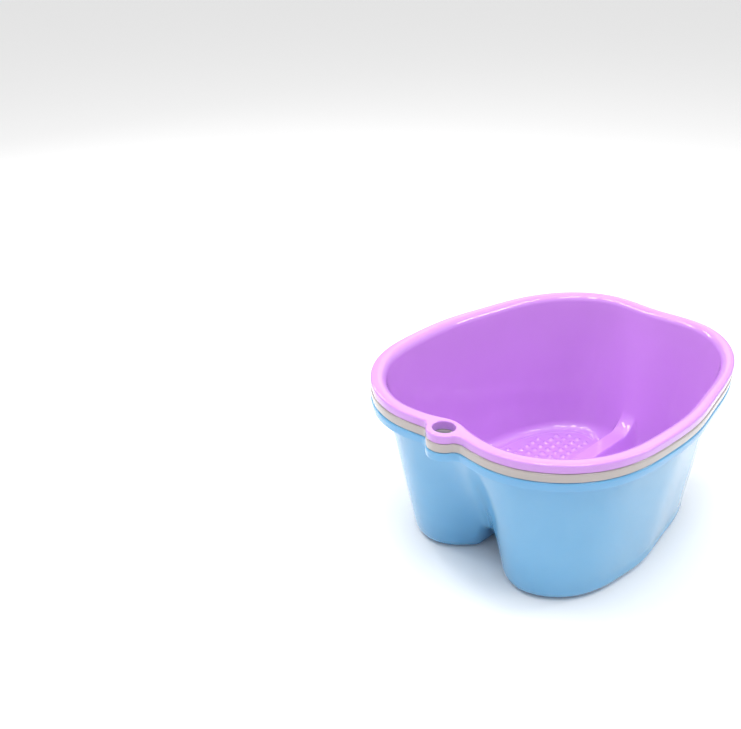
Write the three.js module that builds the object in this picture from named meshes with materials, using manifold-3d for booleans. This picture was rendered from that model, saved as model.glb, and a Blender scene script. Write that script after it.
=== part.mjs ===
// Three identical foot basins nested upright in one another: lilac in cream in sky blue.
// Millimetres, +Z up. Y runs along the feet with the hanging ear at -Y, and x = 0 is the plane of symmetry.
import * as THREE from 'three';
import * as BufferGeometryUtils from 'three/addons/utils/BufferGeometryUtils.js';
import Module from 'manifold-3d';

const wasm = await Module();
wasm.setup();

// ---- driving dimensions of one basin ----
const rimWidth = 352; // across the flange
const rimLength = 428; // along the feet, without the ear
const basinHeight = 190; // standing plane to the top of the flange
const wall = 1.6; // thickest the moulding gets
const nestPitch = 10.5; // rise from one nested basin to the next
const nestClearance = 0.45; // free space between two nested walls

const toeFlange = 19; // from the wall to the outer edge of the flange, at the ear
const heelFlange = 14; // and at the other end
const rollRadius = 10; // where the wall turns over into the flange
const shoulderRadius = 2.5; // outer edge of the flange
const skirtGap = 0.5; // free space under the skirt in the nest
const skirtDepth = nestPitch - skirtGap; // hangs from the flange
const skirtLean = 4.5; // degrees, inwards going down

const sideDraft = 7; // degrees, sides and heel end
const toeDraft = 15.5; // degrees, end below the ear
const toeValley = 42; // depth of the upright flute in the toe end, at floor level
const heelValley = 12;
const valleyHalfWidth = 42;

const ridgeTopWidth = 20; // ridge between the two foot wells
const ridgeHeight = 28;
const ridgeDraft = 20;
const ridgeBlend = 7; // height over which the ridge's flanks run into the floor
const floorFillet = 12; // radius between the floor and the wall
const flareFillet = 30; // radius between the ridge and the wall, in the flutes

const domeBase = 58; // round massage dome that grows out of the ridge in each well
const domeTop = 46;
const domeHeight = 9;
const domeAcross = 34; // from the middle plane
const domeAlong = 16; // towards the heel from the middle

const earRadius = 19;
const holeDiameter = 24;
const earBehindEdge = 1; // middle of the hole, inside the edge of the flange

// Half of the flange outline as shares of half its width and half its length, from the ear end to the notch.
const outlinePoints = [
  [0, -0.977], [0.349, -1.002], [0.681, -0.896], [0.923, -0.637], [0.998, -0.299], [0.994, 0],
  [0.932, 0.279], [0.84, 0.579], [0.644, 0.848], [0.344, 0.988], [0, 0.981],
];

const sections = 60; // upright cuts around one basin
const crowding = 0.45; // how much closer the cuts stand at the two ends, where the ridge runs out
const arcSteps = 3;
const cornerSteps = 5;

const colours = { lilac: 0xc88cf0, cream: 0xd9cfc4, skyBlue: 0x8fc4ea };

const radians = THREE.MathUtils.degToRad;
const skirtInset = skirtDepth * Math.tan(radians(skirtLean));
const wallTop = basinHeight - rollRadius;
const floorLevel = wall;

// ---- outline: polar radius against the angle from the ear direction, a clamped cubic spline ----
function makePolarSpline(points) {
  const knots = points.map(([u, v]) => {
    const x = (u * rimWidth) / 2;
    const y = (v * rimLength) / 2;
    return { angle: Math.atan2(x, -y), radius: Math.hypot(x, y) };
  });
  const count = knots.length;
  const gaps = knots.slice(1).map((knot, i) => knot.angle - knots[i].angle);
  const rises = knots.slice(1).map((knot, i) => (knot.radius - knots[i].radius) / gaps[i]);
  // Tridiagonal system for the bend at each knot, flat at both ends because the outline is mirrored there.
  const diagonal = [];
  const right = [];
  for (let i = 0; i < count; i += 1) {
    const before = i > 0 ? gaps[i - 1] : 0;
    const after = i < count - 1 ? gaps[i] : 0;
    const riseBefore = i > 0 ? rises[i - 1] : 0;
    const riseAfter = i < count - 1 ? rises[i] : 0;
    diagonal.push(2 * (before + after));
    right.push(6 * (riseAfter - riseBefore));
  }
  for (let i = 1; i < count; i += 1) {
    const factor = gaps[i - 1] / diagonal[i - 1];
    diagonal[i] -= factor * gaps[i - 1];
    right[i] -= factor * right[i - 1];
  }
  const bends = new Array(count).fill(0);
  bends[count - 1] = right[count - 1] / diagonal[count - 1];
  for (let i = count - 2; i >= 0; i -= 1) {
    bends[i] = (right[i] - gaps[i] * bends[i + 1]) / diagonal[i];
  }
  return (angle) => {
    const folded = Math.abs(Math.atan2(Math.sin(angle), Math.cos(angle)));
    let i = 0;
    while (i < count - 2 && folded > knots[i + 1].angle) i += 1;
    const a = (knots[i + 1].angle - folded) / gaps[i];
    const b = 1 - a;
    const bending = ((a ** 3 - a) * bends[i] + (b ** 3 - b) * bends[i + 1]) * (gaps[i] ** 2 / 6);
    return a * knots[i].radius + b * knots[i + 1].radius + bending;
  };
}

const rimRadius = makePolarSpline(outlinePoints);
const earCentreY = -(rimRadius(0) - earBehindEdge);

function polarPoint(radius, angle, z) {
  return new THREE.Vector3(radius * Math.sin(angle), -radius * Math.cos(angle), z);
}

// The outline's own normal in plan.
function rimNormal(angle) {
  const step = 0.001;
  const ahead = polarPoint(rimRadius(angle + step), angle + step, 0);
  const behind = polarPoint(rimRadius(angle - step), angle - step, 0);
  const along = ahead.sub(behind).normalize();
  return new THREE.Vector3(along.y, -along.x, 0);
}

function flangeWidth(angle) {
  return toeFlange + ((heelFlange - toeFlange) * (1 - Math.cos(angle))) / 2;
}

// The flange is measured square to the outline, so it is longer along a radius that meets the outline askew.
function wallTopRadius(angle) {
  const square = rimNormal(angle).dot(polarPoint(1, angle, 0));
  return rimRadius(angle) - flangeWidth(angle) / square;
}

function plainFootRadius(angle) {
  const towardsToe = Math.max(0, Math.cos(angle)) ** 2;
  const draft = radians(sideDraft + (toeDraft - sideDraft) * towardsToe);
  return wallTopRadius(angle) - (wallTop - floorLevel) * Math.tan(draft);
}

// 1 in the middle of a flute, fading to 0 at its sides.
function fluteShare(angle) {
  const across = plainFootRadius(angle) * Math.sin(angle);
  return Math.exp(-((across / valleyHalfWidth) ** 2));
}

// Where the drafted wall would meet the floor, with the flute at each end.
function footRadius(angle) {
  const valley = Math.cos(angle) > 0 ? toeValley : heelValley;
  return plainFootRadius(angle) - valley * fluteShare(angle);
}

function cornerFillet(angle) {
  return floorFillet + (flareFillet - floorFillet) * fluteShare(angle);
}

function wallSlope(angle) {
  return (wallTop - floorLevel) / (wallTopRadius(angle) - footRadius(angle));
}

function smoothMax(a, b, blend) {
  const share = Math.max(blend - Math.abs(a - b), 0) / blend;
  return Math.max(a, b) + (share * share * blend) / 4;
}

function ridgeLevel(x) {
  const flank = ridgeHeight - (Math.abs(x) - ridgeTopWidth / 2) / Math.tan(radians(ridgeDraft));
  const capped = -smoothMax(-flank, -ridgeHeight, ridgeBlend / 2);
  return floorLevel + smoothMax(capped, 0, ridgeBlend);
}

function wallLevel(radius, angle) {
  return floorLevel + (radius - footRadius(angle)) * wallSlope(angle);
}

// How far the round corner starts before the place where the wall comes down, and how long it is.
function cornerReach(angle) {
  return cornerFillet(angle) * Math.tan(Math.atan(wallSlope(angle)) / 2);
}

function cornerRun(angle) {
  return cornerFillet(angle) * Math.sin(Math.atan(wallSlope(angle)));
}

// Inner face of the basin below the roll.
function faceLevel(x, y) {
  const radius = Math.hypot(x, y);
  const angle = Math.atan2(x, -y);
  const base = ridgeLevel(x);
  const above = wallLevel(radius, angle);
  const run = (above - base) / wallSlope(angle) + cornerReach(angle);
  if (run <= 0) return base;
  if (run >= cornerRun(angle)) return above;
  const fillet = cornerFillet(angle);
  return base + fillet - Math.sqrt(fillet ** 2 - run ** 2);
}

// Radius at which the wall comes down on the floor or on the ridge.
function meetRadius(angle) {
  let low = footRadius(angle) * 0.5;
  let high = wallTopRadius(angle);
  for (let i = 0; i < 40; i += 1) {
    const middle = (low + high) / 2;
    const below = wallLevel(middle, angle) < ridgeLevel(middle * Math.sin(angle));
    if (below) low = middle;
    else high = middle;
  }
  return (low + high) / 2;
}

function faceNormal(x, y) {
  const step = 0.01;
  const dx = (faceLevel(x + step, y) - faceLevel(x - step, y)) / (2 * step);
  const dy = (faceLevel(x, y + step) - faceLevel(x, y - step)) / (2 * step);
  return new THREE.Vector3(-dx, -dy, 1).normalize();
}

// Rows of one upright cut, from the middle outwards and over the rim: each a face point and its normal.
function sectionRows(angle) {
  const rows = [];
  const meet = meetRadius(angle);
  const sine = Math.max(Math.abs(Math.sin(angle)), 1e-6);
  const flankSlope = Math.tan(radians(ridgeDraft));
  const ridgeBase = ridgeTopWidth / 2 + ridgeHeight * flankSlope;
  const baseReach = ridgeBlend * flankSlope;
  const topEdge = Math.min(ridgeTopWidth / 2 / sine, meet * 0.88);
  const baseStart = Math.min((ridgeBase - baseReach) / sine, meet * 0.91);
  const baseEnd = Math.min((ridgeBase + baseReach) / sine, meet * 0.94);
  const top = wallTopRadius(angle);
  const cornerStart = meet - cornerReach(angle);
  const inner = Math.max(cornerStart, (baseEnd + meet) / 2);
  const radii = [topEdge, baseStart, baseEnd, inner];
  const turn = Math.atan(wallSlope(angle));
  for (let i = 1; i <= cornerSteps; i += 1) {
    const radius = cornerStart + cornerFillet(angle) * Math.sin((turn * i) / cornerSteps);
    radii.push(Math.max(radius, radii[radii.length - 1] + 0.5));
  }
  const corner = radii[radii.length - 1];
  radii.push(corner + (top - corner) / 3, corner + ((top - corner) * 2) / 3);
  for (const radius of radii) {
    const flat = polarPoint(radius, angle, 0);
    const normal = faceNormal(flat.x, flat.y);
    rows.push({ point: polarPoint(radius, angle, faceLevel(flat.x, flat.y)), normal });
  }
  const outward = rimNormal(angle);
  const up = new THREE.Vector3(0, 0, 1);
  const edge = polarPoint(rimRadius(angle), angle, 0);
  const place = (inset, z, tilt) => {
    // tilt: 0 faces into the basin, 90 faces up, 180 faces away from the basin
    const normal = outward.clone().multiplyScalar(-Math.cos(tilt)).addScaledVector(up, Math.sin(tilt));
    const point = edge.clone().addScaledVector(outward, -inset).setZ(z);
    rows.push({ point, normal });
  };
  const startTilt = radians(sideDraft);
  for (let i = 0; i <= arcSteps; i += 1) {
    const tilt = startTilt + ((Math.PI / 2 - startTilt) * i) / arcSteps;
    const inset = flangeWidth(angle) - rollRadius + rollRadius * Math.cos(tilt);
    place(inset, wallTop + rollRadius * Math.sin(tilt), tilt);
  }
  const endTilt = Math.PI + radians(skirtLean);
  for (let i = 0; i <= arcSteps; i += 1) {
    const tilt = Math.PI / 2 + ((endTilt - Math.PI / 2) * i) / arcSteps;
    const inset = shoulderRadius + shoulderRadius * Math.cos(tilt);
    place(inset, basinHeight - shoulderRadius + shoulderRadius * Math.sin(tilt), tilt);
  }
  place(skirtInset, basinHeight - skirtDepth, endTilt);
  return rows;
}

// Thickness that keeps two nested walls apart: a steep wall has to be thinner.
function localWall(normal, isSkirt) {
  if (isSkirt) return wall;
  return Math.min(wall, nestPitch * normal.z - nestClearance);
}

function makeShell() {
  const positions = [];
  const indices = [];
  const cuts = [];
  for (let i = 0; i < sections; i += 1) {
    const even = (i / sections) * 2 * Math.PI;
    cuts.push(sectionRows(even - (crowding * Math.sin(2 * even)) / 2));
  }
  const rowCount = cuts[0].length;
  const firstSkirtRow = rowCount - arcSteps - 1;
  const add = (point) => {
    positions.push(point.x, point.y, point.z);
    return positions.length / 3 - 1;
  };
  const middle = faceLevel(0, 0);
  const topMiddle = add(new THREE.Vector3(0, 0, middle));
  const backMiddle = add(new THREE.Vector3(0, 0, middle - wall));
  const face = cuts.map((rows) => rows.map((row) => add(row.point)));
  const back = cuts.map((rows) => {
    const walls = rows.map((row, k) => localWall(row.normal, k >= firstSkirtRow));
    return rows.map((row, k) => {
      // The fillet is as thin as the wall above it, which keeps its flat facets clear of the basin below.
      const next = Math.min(k + 1, rowCount - 1);
      const point = row.point.clone().addScaledVector(row.normal, -Math.min(walls[k], walls[next]));
      if (k === rowCount - 1) point.z = row.point.z;
      return add(point);
    });
  });
  for (let i = 0; i < sections; i += 1) {
    const j = (i + 1) % sections;
    indices.push(topMiddle, face[i][0], face[j][0]);
    indices.push(backMiddle, back[j][0], back[i][0]);
    for (let k = 0; k < rowCount - 1; k += 1) {
      indices.push(face[i][k], face[i][k + 1], face[j][k + 1]);
      indices.push(face[i][k], face[j][k + 1], face[j][k]);
      indices.push(back[i][k], back[j][k + 1], back[i][k + 1]);
      indices.push(back[i][k], back[j][k], back[j][k + 1]);
    }
    const last = rowCount - 1;
    indices.push(face[i][last], back[i][last], back[j][last]);
    indices.push(face[i][last], back[j][last], face[j][last]);
  }
  const geometry = new THREE.BufferGeometry();
  geometry.setAttribute('position', new THREE.Float32BufferAttribute(positions, 3));
  geometry.setIndex(indices);
  return geometry;
}

// ---- joining and cutting ----
function toSolid(geometry) {
  const bare = geometry.clone();
  bare.deleteAttribute('normal');
  bare.deleteAttribute('uv');
  const merged = BufferGeometryUtils.mergeVertices(bare, 1e-4);
  const mesh = new wasm.Mesh({
    numProp: 3,
    vertProperties: new Float32Array(merged.attributes.position.array),
    triVerts: new Uint32Array(merged.index.array),
  });
  return new wasm.Manifold(mesh);
}

function toGeometry(solid) {
  const mesh = solid.getMesh();
  const geometry = new THREE.BufferGeometry();
  geometry.setAttribute('position', new THREE.BufferAttribute(new Float32Array(mesh.vertProperties), 3));
  geometry.setIndex(new THREE.BufferAttribute(new Uint32Array(mesh.triVerts), 1));
  geometry.computeVertexNormals();
  return geometry;
}

// A profile of [radius, z] turned about an upright axis through (x, y).
function turned(profile, segments, x, y) {
  const points = profile.map(([radius, z]) => new THREE.Vector2(radius, z));
  points.push(points[0].clone());
  const geometry = new THREE.LatheGeometry(points, segments);
  geometry.rotateX(Math.PI / 2);
  geometry.translate(x, y, 0);
  return toSolid(geometry);
}

function cylinder(radius, low, high, segments, x, y) {
  const geometry = new THREE.CylinderGeometry(radius, radius, high - low, segments);
  geometry.rotateX(Math.PI / 2);
  geometry.translate(x, y, (low + high) / 2);
  return toSolid(geometry);
}

function cone(lowRadius, highRadius, low, high, segments, x, y) {
  const geometry = new THREE.CylinderGeometry(highRadius, lowRadius, high - low, segments);
  geometry.rotateX(Math.PI / 2);
  geometry.translate(x, y, (low + high) / 2);
  return toSolid(geometry);
}

// The share of a solid that lies outside the roll, on the ear's side.
function outsideRoll(solid, margin) {
  const rollStartY = -(rimRadius(0) - toeFlange + rollRadius) - margin;
  const geometry = new THREE.BoxGeometry(4 * earRadius, 4 * earRadius, 4 * basinHeight);
  geometry.translate(0, rollStartY - 2 * earRadius, basinHeight);
  return solid.intersect(toSolid(geometry));
}

// Hollow ear: a plate with an outer wall as deep as the skirt, and a collar round the hole.
function makeEar() {
  const hole = holeDiameter / 2;
  const low = basinHeight - skirtDepth;
  const high = basinHeight;
  const under = basinHeight - wall;
  const plateProfile = [
    [hole, under], [earRadius - wall, under], [earRadius - wall, low], [earRadius - skirtInset / 2, low],
    [earRadius, high - shoulderRadius], [earRadius - shoulderRadius, high], [hole, high],
  ];
  const plate = turned(plateProfile, 28, 0, earCentreY);
  const collarProfile = [[hole, low], [hole + wall, low], [hole + wall, high], [hole, high]];
  const collar = turned(collarProfile, 28, 0, earCentreY);
  return outsideRoll(plate, 0).add(collar);
}

// Prism inside the ridge, half the wall under its flanks: the domes stop there and leave the tunnel open.
function makeRidgeCore() {
  const flankSlope = Math.tan(radians(ridgeDraft));
  const high = floorLevel + ridgeHeight - wall / 2;
  const low = -wall;
  const halfTop = ridgeTopWidth / 2 - wall / 2;
  const halfBase = halfTop + (high - low) * flankSlope;
  const shape = new THREE.Shape();
  shape.moveTo(-halfBase, low);
  shape.lineTo(halfBase, low);
  shape.lineTo(halfTop, high);
  shape.lineTo(-halfTop, high);
  shape.closePath();
  const geometry = new THREE.ExtrudeGeometry(shape, { depth: 2 * domeBase, bevelEnabled: false });
  geometry.rotateX(Math.PI / 2);
  geometry.translate(0, domeAlong + domeBase, 0);
  return toSolid(geometry);
}

function makeBasin() {
  let solid = toSolid(makeShell());
  const ridgeCore = makeRidgeCore();
  const inEar = earRadius - wall / 2;
  const below = basinHeight - skirtDepth - 1;
  const inside = cylinder(inEar, below, basinHeight - wall, 28, 0, earCentreY);
  solid = solid.subtract(outsideRoll(inside, wall));
  solid = solid.add(makeEar());
  solid = solid.subtract(cylinder(holeDiameter / 2, below, basinHeight + 1, 28, 0, earCentreY));
  for (const side of [-1, 1]) {
    const x = side * domeAcross;
    const top = floorLevel + domeHeight;
    const dome = cone(domeBase / 2, domeTop / 2, floorLevel - wall / 2, top, 24, x, domeAlong);
    solid = solid.add(dome.subtract(ridgeCore));
    const hollowBase = domeBase / 2 - wall;
    const hollowTop = domeTop / 2 - wall;
    solid = solid.subtract(cone(hollowBase, hollowTop, -1, top - wall, 24, x, domeAlong));
  }
  const geometry = toGeometry(solid);
  geometry.computeBoundingBox();
  const middle = geometry.boundingBox.getCenter(new THREE.Vector3());
  geometry.translate(0, -middle.y, 0);
  return geometry;
}

const basinGeometry = makeBasin();

function placeBasin(name, colour, steps) {
  const material = new THREE.MeshStandardMaterial({ color: colour, roughness: 0.25, metalness: 0 });
  const mesh = new THREE.Mesh(basinGeometry, material);
  mesh.name = name;
  mesh.position.set(0, 0, steps * nestPitch);
  return mesh;
}

const nest = new THREE.Group();
nest.add(placeBasin('sky_blue_basin', colours.skyBlue, 0));
nest.add(placeBasin('cream_basin', colours.cream, 1));
nest.add(placeBasin('lilac_basin', colours.lilac, 2));

export default nest;
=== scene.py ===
"""A nest of three foot basins: lilac in cream in sky blue, each one glossy moulding with a hanging ear."""
import math

import bpy
import numpy as np
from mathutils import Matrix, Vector
from mathutils.geometry import delaunay_2d_cdt


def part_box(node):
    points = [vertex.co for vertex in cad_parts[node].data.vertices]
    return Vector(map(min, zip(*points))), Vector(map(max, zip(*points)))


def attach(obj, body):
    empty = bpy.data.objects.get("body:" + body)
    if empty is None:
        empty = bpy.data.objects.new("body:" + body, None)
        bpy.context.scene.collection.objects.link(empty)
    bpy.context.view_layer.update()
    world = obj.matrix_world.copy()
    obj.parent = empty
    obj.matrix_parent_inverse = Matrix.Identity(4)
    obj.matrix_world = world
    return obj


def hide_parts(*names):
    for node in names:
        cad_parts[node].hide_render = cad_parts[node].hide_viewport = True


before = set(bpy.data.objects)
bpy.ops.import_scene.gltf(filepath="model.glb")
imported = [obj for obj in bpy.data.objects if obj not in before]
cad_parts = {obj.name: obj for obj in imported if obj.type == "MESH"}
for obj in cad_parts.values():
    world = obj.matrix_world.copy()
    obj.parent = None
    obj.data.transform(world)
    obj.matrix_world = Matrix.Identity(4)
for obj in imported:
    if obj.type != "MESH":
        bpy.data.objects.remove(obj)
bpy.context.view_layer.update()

# ---- one basin, in millimetres, as in the CAD source ----
MM = 0.001
RIM_WIDTH, RIM_LENGTH, HEIGHT = 352.0, 428.0, 190.0
WALL, PITCH, CLEARANCE = 1.6, 10.5, 0.45
TOE_FLANGE, HEEL_FLANGE, ROLL, SHOULDER = 19.0, 14.0, 10.0, 2.5
SKIRT_DEPTH, SKIRT_LEAN = 10.0, math.radians(4.5)
SIDE_DRAFT, TOE_DRAFT = math.radians(7.0), math.radians(15.5)
TOE_VALLEY, HEEL_VALLEY, VALLEY_HALF = 42.0, 12.0, 42.0
RIDGE_TOP, RIDGE_HEIGHT, RIDGE_SLOPE = 20.0, 28.0, math.tan(math.radians(20.0))
RIDGE_BLEND, FLOOR_FILLET, FLARE_FILLET = 7.0, 12.0, 30.0
DOME_BASE, DOME_TOP, DOME_HEIGHT = 58.0, 46.0, 9.0
DOME_ACROSS, DOME_ALONG = 34.0, 16.0
EAR_RADIUS, HOLE, EAR_BEHIND = 19.0, 24.0, 1.0
NUB_STEP, NUB_RADIUS, NUB_HEIGHT = 12.5, 4.0, 2.2
OUTLINE = [
    (0, -0.977), (0.349, -1.002), (0.681, -0.896), (0.923, -0.637), (0.998, -0.299), (0.994, 0),
    (0.932, 0.279), (0.84, 0.579), (0.644, 0.848), (0.344, 0.988), (0, 0.981),
]
FLOOR = WALL
WALL_TOP = HEIGHT - ROLL
EDGE_ROUND = 0.6  # radius of the thin lower edges of skirt and collar
BOX_SHARE = 0.9995  # keeps the finer mesh a hair inside the CAD box
SECTIONS = 480  # upright cuts around a basin
CROWDING = 0.5  # how much closer they stand at the two ends


# ---- the outline: a clamped cubic spline of radius against the angle from the ear ----
def spline_knots():
    x = np.array([u * RIM_WIDTH / 2 for u, _ in OUTLINE])
    y = np.array([v * RIM_LENGTH / 2 for _, v in OUTLINE])
    angle, radius = np.arctan2(x, -y), np.hypot(x, y)
    gap = np.diff(angle)
    rise = np.concatenate([[0.0], np.diff(radius) / gap, [0.0]])
    matrix = np.zeros((len(x), len(x)))
    for i, h in enumerate(gap):
        matrix[i:i + 2, i:i + 2] += h * np.array([[2, 1], [1, 2]])
    bend = np.linalg.solve(matrix, 6 * np.diff(rise))
    return angle, radius, bend


KNOT_ANGLE, KNOT_RADIUS, KNOT_BEND = spline_knots()


def rim_radius(angle):
    folded = np.abs(np.arctan2(np.sin(angle), np.cos(angle)))
    i = np.clip(np.searchsorted(KNOT_ANGLE, folded) - 1, 0, len(KNOT_ANGLE) - 2)
    h = KNOT_ANGLE[i + 1] - KNOT_ANGLE[i]
    a = (KNOT_ANGLE[i + 1] - folded) / h
    b = 1 - a
    bending = ((a**3 - a) * KNOT_BEND[i] + (b**3 - b) * KNOT_BEND[i + 1]) * h**2 / 6
    return a * KNOT_RADIUS[i] + b * KNOT_RADIUS[i + 1] + bending


EAR_Y = -(float(rim_radius(0.0)) - EAR_BEHIND)


def smooth_max(a, b, blend):
    share = np.maximum(blend - np.abs(a - b), 0) / blend
    return np.maximum(a, b) + share * share * blend / 4


def flange_width(angle):
    return TOE_FLANGE + (HEEL_FLANGE - TOE_FLANGE) * (1 - np.cos(angle)) / 2


def wall_top_radius(angle, step=0.001):
    radius = rim_radius(angle)
    growth = (rim_radius(angle + step) - rim_radius(angle - step)) / (2 * step)
    return radius - flange_width(angle) * np.hypot(radius, growth) / radius


def plain_foot_radius(angle):
    toe = np.maximum(0, np.cos(angle)) ** 2
    draft = SIDE_DRAFT + (TOE_DRAFT - SIDE_DRAFT) * toe
    return wall_top_radius(angle) - (WALL_TOP - FLOOR) * np.tan(draft)


def flute_share(angle):
    return np.exp(-((plain_foot_radius(angle) * np.sin(angle) / VALLEY_HALF) ** 2))


def foot_radius(angle):
    valley = np.where(np.cos(angle) > 0, TOE_VALLEY, HEEL_VALLEY)
    return plain_foot_radius(angle) - valley * flute_share(angle)


def wall_slope(angle):
    return (WALL_TOP - FLOOR) / (wall_top_radius(angle) - foot_radius(angle))


def corner_fillet(angle):
    return FLOOR_FILLET + (FLARE_FILLET - FLOOR_FILLET) * flute_share(angle)


def ridge_level(x):
    flank = RIDGE_HEIGHT - (np.abs(x) - RIDGE_TOP / 2) / RIDGE_SLOPE
    capped = -smooth_max(-flank, -RIDGE_HEIGHT, RIDGE_BLEND / 2)
    return FLOOR + smooth_max(capped, 0, RIDGE_BLEND)


def wall_level(radius, angle):
    return FLOOR + (radius - foot_radius(angle)) * wall_slope(angle)


def dome_level(x, y):
    away = np.hypot(np.abs(x) - DOME_ACROSS, y - DOME_ALONG)
    cone = (DOME_BASE / 2 - away) / (DOME_BASE - DOME_TOP) * 2 * DOME_HEIGHT
    return FLOOR - smooth_max(-cone, -DOME_HEIGHT, 5.0)


def face_level(x, y):
    """Inner face of a basin below the roll, without its nubs."""
    radius, angle = np.hypot(x, y), np.arctan2(x, -y)
    base = smooth_max(ridge_level(x), dome_level(x, y), 4.0)
    slope, fillet, above = wall_slope(angle), corner_fillet(angle), wall_level(radius, angle)
    turn = np.arctan(slope)
    run = (above - base) / slope + fillet * np.tan(turn / 2)
    inside_corner = np.clip(run, 0, fillet * np.sin(turn))
    rounded = base + fillet - np.sqrt(fillet**2 - inside_corner**2)
    return np.where(run > fillet * np.sin(turn), above, rounded)


def face_normal(x, y, step=0.02):
    dx = (face_level(x + step, y) - face_level(x - step, y)) / (2 * step)
    dy = (face_level(x, y + step) - face_level(x, y - step)) / (2 * step)
    normal = np.stack([-dx, -dy, np.ones_like(dx)], -1)
    return normal / np.linalg.norm(normal, axis=-1, keepdims=True)


def local_wall(up):
    """Thickness that keeps two nested walls apart; up is the upward part of the face's normal."""
    return -smooth_max(-(PITCH * up - CLEARANCE), -WALL, 0.6)


def meet_radius(angle):
    low, high = foot_radius(angle) * 0.5, wall_top_radius(angle)
    for _ in range(40):
        middle = (low + high) / 2
        below = wall_level(middle, angle) < ridge_level(middle * np.sin(angle))
        low, high = np.where(below, middle, low), np.where(below, high, middle)
    return (low + high) / 2


# ---- points around the basin ----
even = np.arange(SECTIONS) / SECTIONS * 2 * math.pi
ANGLE = even - CROWDING * np.sin(2 * even) / 2
FOLDED = np.arctan2(np.sin(ANGLE), np.cos(ANGLE))
MEET = meet_radius(ANGLE)
TOP_RADIUS = wall_top_radius(ANGLE)
TURN = np.arctan(wall_slope(ANGLE))  # how far the corner between floor and wall turns
FILLET = corner_fillet(ANGLE)
CORNER_START = MEET - FILLET * np.tan(TURN / 2)
BEAD, BEAD_HEIGHT = 3.0, 0.45  # a fine bead runs round the floor this far inside the corner
FLOOR_EDGE = CORNER_START - 2 * BEAD


def polar(radius, angle):
    return np.stack([radius * np.sin(angle), -radius * np.cos(angle)], -1)


def outward(curve):
    """Outward normals of a closed plan curve given in the order of ANGLE."""
    along = np.roll(curve, -1, 0) - np.roll(curve, 1, 0)
    along /= np.linalg.norm(along, axis=1, keepdims=True)
    return np.stack([along[:, 1], -along[:, 0]], -1)


RIM = polar(rim_radius(ANGLE), ANGLE)
RIM_OUT = outward(RIM)

# ---- the ear: the outer edge leaves the rim by a round corner and runs round the hole ----
CORNER = 10.0  # radius of the hollow corner between rim and ear
ZONE = 27  # sections on each side of the ear's middle that belong to it
CURVE_STEPS = 60  # points along each part of the ear's edge
EAR = np.array([0.0, EAR_Y])


def corner_centre():
    """Middle of the hollow corner, and the angle from the ear at which the rim runs into it."""
    low, high = 0.02, 0.4
    for _ in range(50):
        middle = (low + high) / 2
        around = middle + np.array([-1e-4, 0, 1e-4])
        near = polar(rim_radius(around), around)
        along = (near[2] - near[0]) / np.linalg.norm(near[2] - near[0])
        centre = near[1] + CORNER * np.array([along[1], -along[0]])
        if np.linalg.norm(centre - EAR) < EAR_RADIUS + CORNER:
            low = middle
        else:
            high = middle
    return centre, middle


def ear_curve():
    """Outer edge and its normals: the rim's own, except round the ear."""
    edge, normal = RIM.copy(), RIM_OUT.copy()
    centre, start = corner_centre()
    zone_angle = abs(FOLDED[ZONE])
    steps = np.linspace(zone_angle, start, CURVE_STEPS)
    straight = polar(rim_radius(steps), steps)
    start_turn = math.atan2(*(straight[-1] - centre)[::-1])
    end_turn = math.atan2(*(EAR - centre)[::-1])
    if end_turn < start_turn:
        end_turn += 2 * math.pi
    turns = np.linspace(start_turn, end_turn, CURVE_STEPS)[1:]
    corner = centre + CORNER * np.stack([np.cos(turns), np.sin(turns)], -1)
    first = math.atan2(*(centre - EAR)[::-1])
    turns = np.linspace(first, -math.pi / 2, CURVE_STEPS)[1:]
    loop = EAR + EAR_RADIUS * np.stack([np.cos(turns), np.sin(turns)], -1)
    path = np.concatenate([straight, corner, loop])
    along = np.gradient(straight, axis=0)
    along /= np.linalg.norm(along, axis=1, keepdims=True)
    square = np.stack([-along[:, 1], along[:, 0]], -1)
    facing = np.concatenate([square, (centre - corner) / CORNER, (loop - EAR) / EAR_RADIUS])
    length = np.concatenate([[0], np.cumsum(np.linalg.norm(np.diff(path, axis=0), axis=1))])
    wanted = np.linspace(0, length[-1], ZONE + 1)
    for k, s in enumerate(wanted):
        i = ZONE - k
        point = np.array([np.interp(s, length, path[:, c]) for c in (0, 1)])
        face = np.array([np.interp(s, length, facing[:, c]) for c in (0, 1)])
        face /= np.linalg.norm(face)
        for index, side in ((i, 1), (-i % SECTIONS, -1)):
            edge[index], normal[index] = point * (side, 1), face * (side, 1)
    normal[0] = (0, -1)
    edge[0] = EAR - (0, EAR_RADIUS)
    return edge, normal


EDGE, EDGE_OUT = ear_curve()
EAR_HALF, ROLL_CUT = 17.0, 7.4  # how far across the roll gets smaller at the ear, and by how much
BUMP = np.exp(-((RIM[:, 0] / EAR_HALF) ** 2)) * (FOLDED > -1) * (FOLDED < 1)
LOCAL_ROLL = ROLL - ROLL_CUT * BUMP  # so the flange widens round the hole


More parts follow.
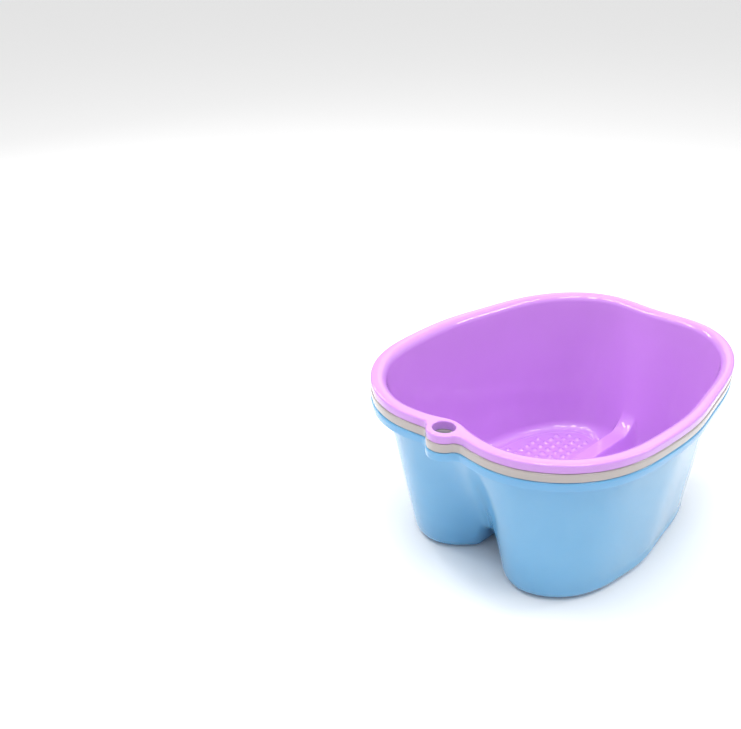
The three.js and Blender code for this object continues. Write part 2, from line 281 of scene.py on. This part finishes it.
def section_rows():
    """Rows from the floor's edge over the rim to the skirt's lower edge, each (face points, back points)."""
    rows = []

    def add_wall(radius, lift=0.0):
        flat = polar(radius, ANGLE)
        x, y = flat[:, 0], flat[:, 1]
        normal = face_normal(x, y)
        level = face_level(x, y)
        face = np.column_stack([flat, level])
        back = face - normal * local_wall(normal[:, 2])[:, None]
        face[:, 2] += lift
        rows.append((face, back))

    fade = 1 - flute_share(ANGLE)
    for away in (2.0, 1.3, 0.9, 0.5, 0.2, 0.0, -0.2, -0.5, -0.9, -1.3):
        add_wall(CORNER_START - BEAD * (1 + away / 2), BEAD_HEIGHT * fade * math.exp(-((away / 0.55) ** 2)))
    for share in np.linspace(0, 1, 15):
        add_wall(CORNER_START + FILLET * np.sin(TURN * share))
    start = CORNER_START + FILLET * np.sin(TURN)
    for share in np.linspace(0, 1, 13)[1:-1]:
        add_wall(start + share * (TOP_RADIUS - start))

    def add_rim(edge, out, inset, z, tilt, wall):
        face = np.column_stack([edge - out * np.reshape(inset, (-1, 1)), np.broadcast_to(z, len(edge))])
        tilt = np.broadcast_to(tilt, len(edge))
        normal = np.column_stack([-out * np.cos(tilt)[:, None], np.sin(tilt)])
        rows.append((face, face - normal * np.reshape(wall, (-1, 1))))

    for tilt in np.linspace(SIDE_DRAFT, math.pi / 2, 11):
        inset = flange_width(ANGLE) - LOCAL_ROLL + LOCAL_ROLL * math.cos(tilt)
        z = HEIGHT - LOCAL_ROLL + LOCAL_ROLL * math.sin(tilt)
        wall = np.full(SECTIONS, float(local_wall(np.array(math.sin(tilt)))))
        add_rim(RIM, RIM_OUT, inset, z, tilt, wall)
    last = math.pi + SKIRT_LEAN
    for tilt in np.linspace(math.pi / 2, last, 10):
        inset = np.full(SECTIONS, SHOULDER + SHOULDER * math.cos(tilt))
        add_rim(EDGE, EDGE_OUT, inset, HEIGHT - SHOULDER + SHOULDER * math.sin(tilt), tilt, WALL)
    for share in (0.5, 1.0):
        z = HEIGHT - SHOULDER - share * (SKIRT_DEPTH - SHOULDER - EDGE_ROUND)
        inset = np.full(SECTIONS, (HEIGHT - SHOULDER - z) * math.tan(SKIRT_LEAN))
        add_rim(EDGE, EDGE_OUT, inset, z, last, WALL)
    return rows


# ---- the floor of the wells, as points for a triangulation ----
def edge_radius_at(angle):
    order = np.argsort(ANGLE)
    wrapped = np.mod(angle, 2 * math.pi)
    a = np.concatenate([ANGLE[order], [ANGLE[order][0] + 2 * math.pi]])
    r = np.concatenate([FLOOR_EDGE[order], [FLOOR_EDGE[order][0]]])
    return np.interp(wrapped, a, r)


def inside(points, margin):
    radius, angle = np.hypot(points[:, 0], points[:, 1]), np.arctan2(points[:, 0], -points[:, 1])
    return points[radius < edge_radius_at(angle) - margin]


NUB_FIRST = (43.0, 4.0)  # the grid's first column and its middle row
NUB_MARGIN = 1.3  # between a nub and the floor's edge
ARCH_ACROSS = 36.0  # middle of the oval round the dome that has no nubs
ARCH_HALF = (42.0, 62.0)


def nub_centres():
    """A square grid over each well that leaves the arch of the foot round the dome free."""
    centres = []
    for i in range(9):
        for j in range(-14, 15):
            x, y = NUB_FIRST[0] + i * NUB_STEP, j * NUB_STEP + NUB_FIRST[1]
            spot = np.array([[x, y]])
            if len(inside(spot, NUB_RADIUS + NUB_MARGIN)) == 0:
                continue
            if ((x - ARCH_ACROSS) / ARCH_HALF[0]) ** 2 + ((y - DOME_ALONG) / ARCH_HALF[1]) ** 2 < 1:
                continue
            centres += [(x, y), (-x, y)]
    return np.array(centres)


NUBS = nub_centres()


def ring(centre, radius, count, turn=0.0):
    t = np.arange(count) / count * 2 * math.pi + turn
    return np.array(centre) + radius * np.stack([np.cos(t), np.sin(t)], -1)


RIDGE_FOOT = RIDGE_TOP / 2 + RIDGE_HEIGHT * RIDGE_SLOPE
RIDGE_ROWS = (0, 4, 7.2, 8.2, 8.9, 9.5, 10.1, 10.7, 11.4, 12.6, 14.4, 16.2)  # closest at the rounded edge
FOOT_ROWS = (-2.9, -2.1, -1.3, -0.5, 0.3, 1.1, 1.9, 2.7, 3.6)  # either side of the ridge's foot
DOME_RINGS = (20.2, 21.2, 22.1, 23.0, 23.9, 25.0, 26.2, 27.2, 28.1, 29.0, 29.9, 31)
NUB_RINGS = (0.25, 0.5, 0.7, 0.86, 1.0)  # shares of a nub's radius
ROW_RISE = 0.866  # of a triangular grid, as a share of its step


def ridge_columns(step):
    across = list(RIDGE_ROWS) + [RIDGE_FOOT + d for d in FOOT_ROWS]
    y = np.arange(-190, 200, step)
    spots = [(side * x, v) for x in across for v in y for side in ((1, -1) if x else (1,))]
    return np.array(spots, float)


def floor_points(step, with_nubs):
    """Points of the wells' floor: an even grid, and closer rows where ridge, domes and nubs bend it."""
    half = step / 2
    grid = [(x + half * (j % 2), j * step * ROW_RISE)
            for j in range(-int(200 / step / ROW_RISE), int(200 / step / ROW_RISE))
            for x in np.arange(-150, 150, step)]
    grid = np.array(grid)
    ridge_side = RIDGE_FOOT + 4.5
    grid = grid[np.abs(grid[:, 0]) > ridge_side]
    dome = np.hypot(np.abs(grid[:, 0]) - DOME_ACROSS, grid[:, 1] - DOME_ALONG)
    grid = grid[(dome > DOME_BASE / 2 + 3) | (dome < DOME_TOP / 2 - 4)]
    if with_nubs:
        apart = grid[:, None] - NUBS[None]
        away = np.min(np.hypot(apart[..., 0], apart[..., 1]), 1)
        grid = grid[away > NUB_RADIUS + 1.2]
    parts = [grid, ridge_columns(2.2 if with_nubs else 3.3)]
    for side in (1, -1):
        for radius in DOME_RINGS:
            circle = ring((side * DOME_ACROSS, DOME_ALONG), radius, 72)
            parts.append(circle[np.abs(circle[:, 0]) > ridge_side - 0.8])
    if with_nubs:
        for centre in NUBS:
            parts.append(np.array([centre]))
            for k, share in enumerate(NUB_RINGS):
                parts.append(ring(centre, NUB_RADIUS * share, 14, 0.22 * k))
    return inside(np.concatenate(parts), 0.9)


def nub_height(x, y):
    away = np.full(len(x), 1e9)
    for cx, cy in NUBS:
        away = np.minimum(away, np.hypot(x - cx, y - cy))
    share = np.clip(away / NUB_RADIUS, 0, 1)
    return NUB_HEIGHT * (1 - share**2) ** 1.3


def triangulate(boundaries, spots):
    """Triangles over closed rings of points and loose points, inside the outermost ring."""
    points, edges = [], []
    for loop in boundaries:
        first = len(points)
        points += [Vector(p) for p in loop]
        edges += [(first + i, first + (i + 1) % len(loop)) for i in range(len(loop))]
    points += [Vector(p) for p in spots]
    _, _, faces, origin, _, _ = delaunay_2d_cdt(points, edges, [], 1, 1e-7)
    back = [ids[0] for ids in origin]
    return [tuple(back[i] for i in face) for face in faces]


class Builder:
    """Collects points and faces of one closed mesh."""

    def __init__(self):
        self.points, self.faces = [], []

    def add(self, points):
        first = sum(len(p) for p in self.points)
        self.points.append(np.asarray(points, float))
        return np.arange(first, first + len(points))

    def band(self, a, b, skip=()):
        """Quads between two rings of point numbers."""
        count = len(a)
        for i in range(count):
            if i in skip:
                continue
            j = (i + 1) % count
            self.faces.append((a[i], b[i], b[j], a[j]))


def turns_left(a, b, c):
    return (b[0] - a[0]) * (c[1] - a[1]) - (b[1] - a[1]) * (c[0] - a[0]) > 0


def build_basin_mesh():
    """Points and faces of one closed basin, standing on z = 0, with the middle of its rim over the origin."""
    build = Builder()
    rows = section_rows()
    face_rows = [build.add(face) for face, _ in rows]
    back_rows = [build.add(back) for _, back in rows]
    roll_end = next(k for k, (face, _) in enumerate(rows) if np.allclose(face[:, 2], HEIGHT))
    zone = set(range(ZONE)) | set(range(SECTIONS - ZONE, SECTIONS))
    for k in range(len(rows) - 1):
        skip = zone if k == roll_end else ()
        build.band(face_rows[k], face_rows[k + 1], skip)
        build.band(back_rows[k + 1], back_rows[k], skip)

    # lower edge of the skirt, rounded
    face, back = rows[-1]
    middle = (face + back) / 2
    previous = face_rows[-1]
    for turn in np.linspace(0, math.pi, 7)[1:-1]:
        lip = middle + (face - middle) * math.cos(turn)
        lip[:, 2] = face[:, 2] - EDGE_ROUND * math.sin(turn)
        current = build.add(lip)
        build.band(previous, current)
        previous = current
    build.band(previous, back_rows[-1])

    # floor of the wells, above and below
    for edge, step, with_nubs in ((face_rows[0], 4.2, True), (back_rows[0], 7.0, False)):
        spots = floor_points(step, with_nubs)
        x, y = spots[:, 0], spots[:, 1]
        level = face_level(x, y)
        surface = np.column_stack([x, y, level + (nub_height(x, y) if with_nubs else 0)])
        if not with_nubs:
            normal = face_normal(x, y)
            surface = surface - normal * local_wall(normal[:, 2])[:, None]
        numbers = build.add(surface)
        every = np.concatenate(build.points)
        loop = every[edge, :2] if with_nubs else polar(FLOOR_EDGE, ANGLE)
        ids = np.concatenate([edge, numbers])
        flat = np.concatenate([loop, spots])
        for tri in triangulate([loop], spots):
            points = tuple(ids[i] for i in tri)
            upwards = turns_left(*(flat[i] for i in tri[:3]))
            build.faces.append(points if upwards == with_nubs else points[::-1])

    # the ear's plate with its hole and collar
    wrap = [i % SECTIONS for i in range(-ZONE, ZONE + 1)]
    turns = 72  # points round the hole
    lip = 1.4  # radius of the hole's upper edge
    low = HEIGHT - SKIRT_DEPTH
    collar = [(HOLE / 2 + lip * (1 - math.sin(t)), HEIGHT - lip * (1 - math.cos(t)))
              for t in np.linspace(0, math.pi / 2, 6)]
    collar += [(HOLE / 2, HEIGHT - 5), (HOLE / 2, low + EDGE_ROUND)]
    collar += [(HOLE / 2 + WALL / 2 * (1 - math.cos(t)), low + EDGE_ROUND - EDGE_ROUND * math.sin(t))
               for t in np.linspace(0, math.pi, 7)[1:-1]]
    collar += [(HOLE / 2 + WALL, low + EDGE_ROUND), (HOLE / 2 + WALL, HEIGHT - WALL)]
    rings = []
    for radius, z in collar:
        circle = ring(EAR, radius, turns)
        rings.append(build.add(np.column_stack([circle, np.full(turns, z)])))
    for a, b in zip(rings, rings[1:]):
        build.band(b, a)
    for group, hole, up in ((face_rows, rings[0], True), (back_rows, rings[-1], False)):
        inner = [group[roll_end][i] for i in wrap]
        outer = [group[roll_end + 1][i] for i in wrap]
        border = np.array(inner + outer[::-1])
        every = np.concatenate(build.points)
        ids = np.concatenate([border, hole])
        flat = every[ids, :2]
        for tri in triangulate([every[border, :2], every[hole, :2]], []):
            centre = flat[list(tri)].mean(0)
            if np.hypot(*(centre - EAR)) < np.hypot(*(every[hole[0], :2] - EAR)) * 0.97:
                continue
            points = tuple(ids[i] for i in tri)
            upwards = turns_left(*(flat[i] for i in tri[:3]))
            build.faces.append(points if upwards == up else points[::-1])

    points = np.concatenate(build.points)
    points[:, :2] *= BOX_SHARE
    return points, build.faces


def cad_shift():
    """How far the CAD moved the basin along Y to centre its box, read from the place of the ear's tip."""
    low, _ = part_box("sky_blue_basin")
    return low.y / MM + (-EAR_Y + EAR_RADIUS)


BASIN_POINTS, BASIN_FACES = build_basin_mesh()


# ---- materials ----
def plastic(name, colour, deep, roughness, subsurface, radius):
    """Glossy moulded polypropylene: faint flow marks in the colour, a slightly uneven gloss and a ripple."""
    material = bpy.data.materials.new(name)
    material.use_nodes = True
    nodes, links = material.node_tree.nodes, material.node_tree.links
    shader = nodes["Principled BSDF"]
    place = nodes.new("ShaderNodeTexCoord")
    flow = nodes.new("ShaderNodeTexNoise")
    flow.inputs["Scale"].default_value = 9.0
    flow.inputs["Detail"].default_value = 4.0
    flow.inputs["Roughness"].default_value = 0.55
    links.new(place.outputs["Object"], flow.inputs["Vector"])
    ramp = nodes.new("ShaderNodeValToRGB")
    ramp.color_ramp.elements[0].position = 0.3
    ramp.color_ramp.elements[0].color = (*deep, 1)
    ramp.color_ramp.elements[1].position = 0.7
    ramp.color_ramp.elements[1].color = (*colour, 1)
    links.new(flow.outputs["Fac"], ramp.inputs["Fac"])
    links.new(ramp.outputs["Color"], shader.inputs["Base Color"])
    gloss = nodes.new("ShaderNodeTexNoise")
    gloss.inputs["Scale"].default_value = 38.0
    gloss.inputs["Detail"].default_value = 5.0
    links.new(place.outputs["Object"], gloss.inputs["Vector"])
    spread = nodes.new("ShaderNodeMapRange")
    spread.inputs["From Min"].default_value = 0.3
    spread.inputs["From Max"].default_value = 0.7
    spread.inputs["To Min"].default_value = roughness * 0.85
    spread.inputs["To Max"].default_value = roughness * 1.2
    links.new(gloss.outputs["Fac"], spread.inputs["Value"])
    links.new(spread.outputs["Result"], shader.inputs["Roughness"])
    ripple = nodes.new("ShaderNodeBump")
    ripple.inputs["Strength"].default_value = 0.05
    ripple.inputs["Distance"].default_value = 0.0004
    links.new(flow.outputs["Fac"], ripple.inputs["Height"])
    links.new(ripple.outputs["Normal"], shader.inputs["Normal"])
    shader.inputs["IOR"].default_value = 1.49
    shader.inputs["Subsurface Weight"].default_value = subsurface
    shader.inputs["Subsurface Radius"].default_value = radius
    shader.inputs["Subsurface Scale"].default_value = 0.004
    shader.inputs["Coat Weight"].default_value = 0.5
    shader.inputs["Coat Roughness"].default_value = 0.04
    return material


LILAC = plastic("lilac_plastic", colour=(0.585, 0.28, 0.76), deep=(0.56, 0.265, 0.73),
                roughness=0.09, subsurface=0.25, radius=(1.0, 0.6, 1.0))
CREAM = plastic("cream_plastic", colour=(0.46, 0.415, 0.40), deep=(0.435, 0.39, 0.375),
                roughness=0.11, subsurface=0.25, radius=(1.0, 0.8, 0.6))
SKY_BLUE = plastic("sky_blue_plastic", colour=(0.145, 0.41, 0.685), deep=(0.13, 0.385, 0.655),
                   roughness=0.09, subsurface=0.3, radius=(0.6, 0.8, 1.0))


def make_basin(name, body, node, material, steps):
    """One moulding that stands for a CAD node; steps is its place in the nest, counted from the floor."""
    points = BASIN_POINTS * MM
    points = points + np.array([0, cad_shift() * MM, steps * PITCH * MM])
    mesh = bpy.data.meshes.new(name)
    mesh.from_pydata(points.tolist(), [], BASIN_FACES)
    mesh.polygons.foreach_set("use_smooth", [True] * len(mesh.polygons))
    mesh.materials.append(material)
    mesh.update()
    basin = bpy.data.objects.new(name, mesh)
    bpy.context.scene.collection.objects.link(basin)
    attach(basin, body)
    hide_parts(node)


make_basin("sky_blue_moulding", "sky_blue", "sky_blue_basin", SKY_BLUE, 0)
make_basin("cream_moulding", "cream", "cream_basin", CREAM, 1)
make_basin("lilac_moulding", "lilac", "lilac_basin", LILAC, 2)


# ---- camera, floor and light ----
AZIMUTH, ELEVATION = math.radians(44.6), math.radians(26.8)
FOCAL_SHARE = 1000.0 / 741.0  # focal length over the picture's width
SENSOR = 36.0
DISTANCE = 1.172  # from the middle of the top rim
ASIDE, BELOW = 0.192, -0.003  # where the rim's middle stands, in focal lengths from the picture's middle
FLOOR_SIZE, FLOOR_DROP = 6.0, 0.0005  # half the floor's width, and its place just below the basin
LIGHT_DISTANCE = 1.8
LIGHTS_AIM = (0, 0, 0.2)


def add_camera():
    direction = Vector((-math.sin(AZIMUTH) * math.cos(ELEVATION),
                        math.cos(AZIMUTH) * math.cos(ELEVATION),
                        -math.sin(ELEVATION)))
    right = direction.cross(Vector((0, 0, 1))).normalized()
    up = right.cross(direction)
    ray = (direction + right * ASIDE - up * BELOW).normalized()
    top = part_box("lilac_basin")[1].z
    target = Vector((0, cad_shift() * MM, top))
    data = bpy.data.cameras.new("camera")
    data.sensor_width = SENSOR
    data.lens = SENSOR * FOCAL_SHARE
    camera = bpy.data.objects.new("camera", data)
    camera.location = target - ray * DISTANCE
    camera.rotation_euler = direction.to_track_quat("-Z", "Y").to_euler()
    bpy.context.scene.collection.objects.link(camera)
    bpy.context.scene.camera = camera


def add_floor():
    mesh = bpy.data.meshes.new("floor")
    corners = [(-1, -1), (1, -1), (1, 1), (-1, 1)]
    mesh.from_pydata([(x * FLOOR_SIZE, y * FLOOR_SIZE, -FLOOR_DROP) for x, y in corners], [], [(0, 1, 2, 3)])
    floor = bpy.data.objects.new("floor", mesh)
    material = bpy.data.materials.new("pale_floor")
    material.use_nodes = True
    shader = material.node_tree.nodes["Principled BSDF"]
    shader.inputs["Base Color"].default_value = (0.93, 0.93, 0.93, 1)
    shader.inputs["Roughness"].default_value = 0.6
    mesh.materials.append(material)
    bpy.context.scene.collection.objects.link(floor)


def add_light(name, place, aim, size, power):
    data = bpy.data.lights.new(name, "AREA")
    data.shape = "RECTANGLE"
    data.size, data.size_y = size
    data.energy = power
    light = bpy.data.objects.new(name, data)
    light.location = place
    light.rotation_euler = (Vector(aim) - Vector(place)).to_track_quat("-Z", "Y").to_euler()
    bpy.context.scene.collection.objects.link(light)


def add_strip(name, azimuth, elevation, size, power):
    """A light on a wide circle round the nest: a narrow one shows as a dash on a rounded rim."""
    around, up = math.radians(azimuth), math.radians(elevation)
    ray = Vector((math.cos(around) * math.cos(up), math.sin(around) * math.cos(up), math.sin(up)))
    middle = Vector(LIGHTS_AIM)
    add_light(name, middle + LIGHT_DISTANCE * ray, middle, size, power)


def add_world():
    """A studio whose light comes mostly from above."""
    world = bpy.data.worlds.new("studio")
    world.use_nodes = True
    nodes, links = world.node_tree.nodes, world.node_tree.links
    place = nodes.new("ShaderNodeTexCoord")
    split = nodes.new("ShaderNodeSeparateXYZ")
    links.new(place.outputs["Generated"], split.inputs["Vector"])
    spread = nodes.new("ShaderNodeMapRange")
    spread.inputs["From Min"].default_value = -0.1
    spread.inputs["From Max"].default_value = 0.8
    spread.inputs["To Min"].default_value = 0.18
    spread.inputs["To Max"].default_value = 1.0
    links.new(split.outputs["Z"], spread.inputs["Value"])
    links.new(spread.outputs["Result"], nodes["Background"].inputs["Strength"])
    nodes["Background"].inputs["Color"].default_value = (1, 1, 1, 1)
    bpy.context.scene.world = world


add_camera()
add_floor()
add_world()
add_light("overhead", (0.0, 0.1, 2.2), LIGHTS_AIM, (1.6, 1.6), 9)
add_strip("sheen", 124, 28, (0.9, 0.6), 1.2)
add_strip("strip", 45, 45, (0.12, 0.8), 5)
for azimuth, elevation in ((178, 31), (218, 52), (250, 63), (305, 67), (357, 62)):
    add_strip("window", azimuth, elevation, (0.3, 0.8), 6)
bpy.context.scene.view_settings.view_transform = "Standard"
